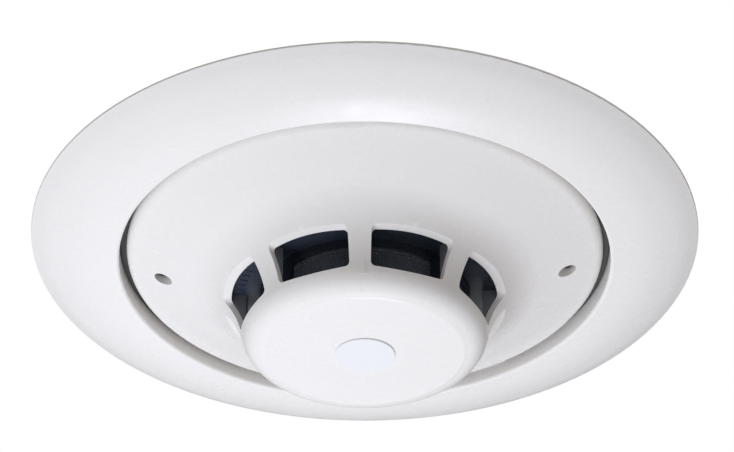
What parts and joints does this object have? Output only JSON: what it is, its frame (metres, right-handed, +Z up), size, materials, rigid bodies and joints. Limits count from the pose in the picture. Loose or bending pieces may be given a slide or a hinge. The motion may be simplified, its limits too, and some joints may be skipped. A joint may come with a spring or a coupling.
{
  "type": "smoke detector",
  "caption": "Round ceiling smoke detector: a plug-in head with a windowed nose, twist-locked into a wide flanged mounting base.",
  "frame": {"origin": "centre of the base's back face, on the ceiling plane", "axes": "+Z up into the ceiling; the detector hangs towards -Z; -Y through the nose's front rib; +X to the right of it"},
  "size_m": [0.1546, 0.1546, 0.0303],
  "materials": {
    "cover_plastic": "satin off-white moulding",
    "base_plastic": "satin off-white moulding",
    "plate_plastic": "fine-grained dark grey moulding",
    "back_plastic": "fine-grained off-white moulding",
    "chamber_plastic": "blue-black, semi-gloss",
    "liner_plastic": "slate grey, semi-gloss",
    "deck_plastic": "slate blue-grey, semi-gloss",
    "screen_mesh": "fine blackened mesh",
    "label_film": "plain white film",
    "screw_steel": "zinc plated",
    "terminal_metal": "nickel plated spring strip",
    "blade_metal": "rolled",
    "board_laminate": "green solder mask",
    "chip_epoxy": "moulded epoxy",
    "capacitor_epoxy": "moulded epoxy",
    "resistor_ceramic": "glazed ceramic",
    "reed_glass": "clear, slightly green",
    "emitter_epoxy": "tinted epoxy",
    "photodiode_epoxy": "dark filter epoxy",
    "tinned_steel": "tinned sheet",
    "tinned_wire": "tinned wire",
    "lamp_red": "diffused red epoxy"
  },
  "bodies": {
    "base": {"mounting_plate": "plate_plastic", "trim_flange": "base_plastic", "terminal_1": "terminal_metal", "terminal_2": "terminal_metal", "terminal_3": "terminal_metal", "terminal_4": "terminal_metal", "clamp_washers": "screw_steel", "terminal_screws": "screw_steel"},
    "head": {"amplifier": "chip_epoxy", "back_plate": "back_plastic", "bridge_rectifier": "chip_epoxy", "chamber_base": "chamber_plastic", "chamber_cover": "chamber_plastic", "chamber_deck": "deck_plastic", "chamber_screws": "screw_steel", "chip_resistors": "resistor_ceramic", "circuit_board": "board_laminate", "contact_blade_1": "blade_metal", "contact_blade_2": "blade_metal", "contact_blade_3": "blade_metal", "contact_blade_4": "blade_metal", "emitter_leads": "tinned_wire", "head_cover": "cover_plastic", "insect_screen": "screen_mesh", "ir_emitter": "emitter_epoxy", "lamp_leads_left": "tinned_wire", "lamp_leads_right": "tinned_wire", "microcontroller": "chip_epoxy", "nose_label": "label_film", "photodiode": "photodiode_epoxy", "photodiode_leads": "tinned_wire", "receiver_shield": "tinned_steel", "reed_switch": "reed_glass", "rib_liners": "liner_plastic", "status_lamp_left": "lamp_red", "status_lamp_right": "lamp_red", "tantalum_capacitors": "capacitor_epoxy"}
  },
  "joints": [
    {"name": "head_twist", "type": "hinge", "parent": "base", "child": "head", "pos_m": [0, 0, 0], "axis": [0, 0, -1], "range_deg": [0, 18]}
  ]
}
